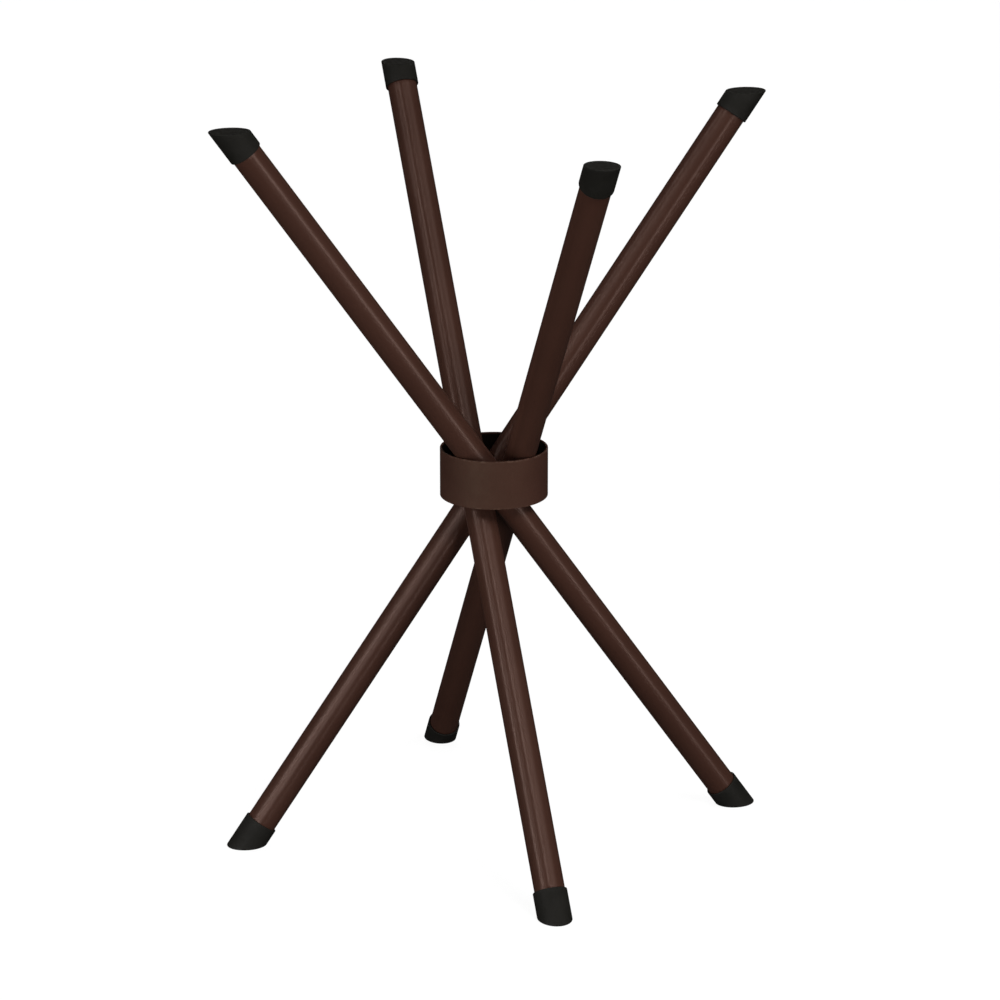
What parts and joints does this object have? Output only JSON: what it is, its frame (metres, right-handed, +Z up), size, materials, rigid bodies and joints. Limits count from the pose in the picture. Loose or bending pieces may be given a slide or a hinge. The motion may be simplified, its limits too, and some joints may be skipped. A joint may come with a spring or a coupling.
{
  "type": "table base",
  "caption": "Table base of straight round tubes that cross at a waist inside a plain ring, with level-cut end caps as feet and as rests for a table top.",
  "frame": {"origin": "on the floor plane under the centre of the ring", "axes": "+Z up from the floor to the table top; +X and +Y lie square to each other with the tubes' waist points on them, and the front leg's upper end leans to -Y"},
  "size_m": [0.5764, 0.5764, 0.738],
  "materials": {
    "tube_paint": "semi-gloss dark brown powder coat",
    "ring_paint": "matt dark brown powder coat",
    "weld_paint": "satin dark brown powder coat over a weld bead",
    "cap_plastic": "matt black moulded plastic with a fine texture"
  },
  "bodies": {
    "root": {"centre_ring": "ring_paint", "leg_tube_front": "tube_paint", "leg_tube_right": "tube_paint", "leg_tube_back": "tube_paint", "leg_tube_left": "tube_paint", "top_cap_front": "cap_plastic", "top_cap_right": "cap_plastic", "top_cap_back": "cap_plastic", "top_cap_left": "cap_plastic", "foot_cap_front": "cap_plastic", "foot_cap_right": "cap_plastic", "foot_cap_back": "cap_plastic", "foot_cap_left": "cap_plastic", "crossing_weld_front_right": "weld_paint", "crossing_weld_right_back": "weld_paint", "crossing_weld_back_left": "weld_paint", "crossing_weld_left_front": "weld_paint", "ring_weld_front": "weld_paint", "ring_weld_right": "weld_paint", "ring_weld_back": "weld_paint", "ring_weld_left": "weld_paint"}
  },
  "joints": []
}
